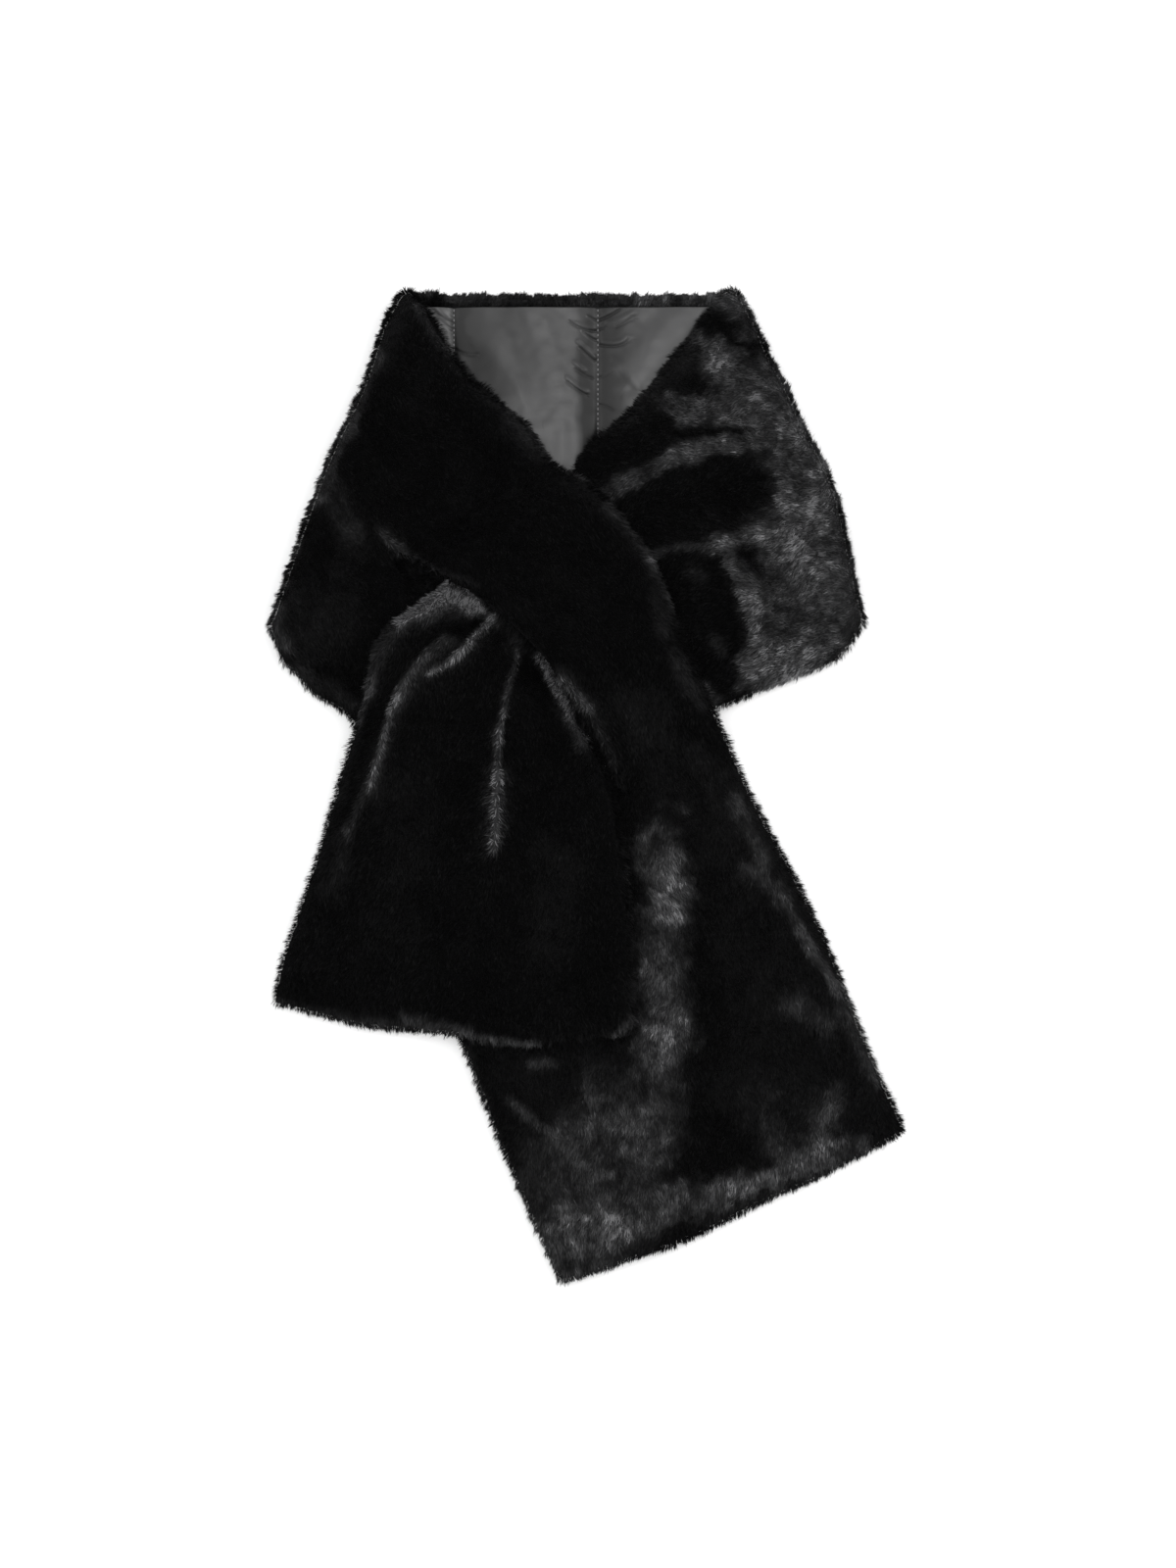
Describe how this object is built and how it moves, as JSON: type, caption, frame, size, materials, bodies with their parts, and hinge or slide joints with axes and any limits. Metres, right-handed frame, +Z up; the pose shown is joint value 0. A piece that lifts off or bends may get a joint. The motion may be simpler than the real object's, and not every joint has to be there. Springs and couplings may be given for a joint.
{
  "type": "padded stole",
  "caption": "Black plush fur stole lined in quilted satin, laid flat with its fronts crossed and a gathered tail pulled through the slot in the upper front.",
  "frame": {"origin": "middle of the bounding box, on the surface the stole lies on", "axes": "+Z up from the surface, +Y towards the stretch behind the neck, +X towards the wearer's left as the stole lies with its fronts up"},
  "size_m": [0.5192, 0.8104, 0.0509],
  "materials": {
    "black_fur": "dense plush faux fur with a silky nap",
    "quilted_satin": "charcoal satin, quilted over thin wadding"
  },
  "bodies": {
    "root": {"back_fur": "black_fur", "back_lining": "quilted_satin", "left_front": "black_fur", "long_tail": "black_fur", "right_front": "black_fur", "short_tail": "black_fur"}
  },
  "joints": []
}
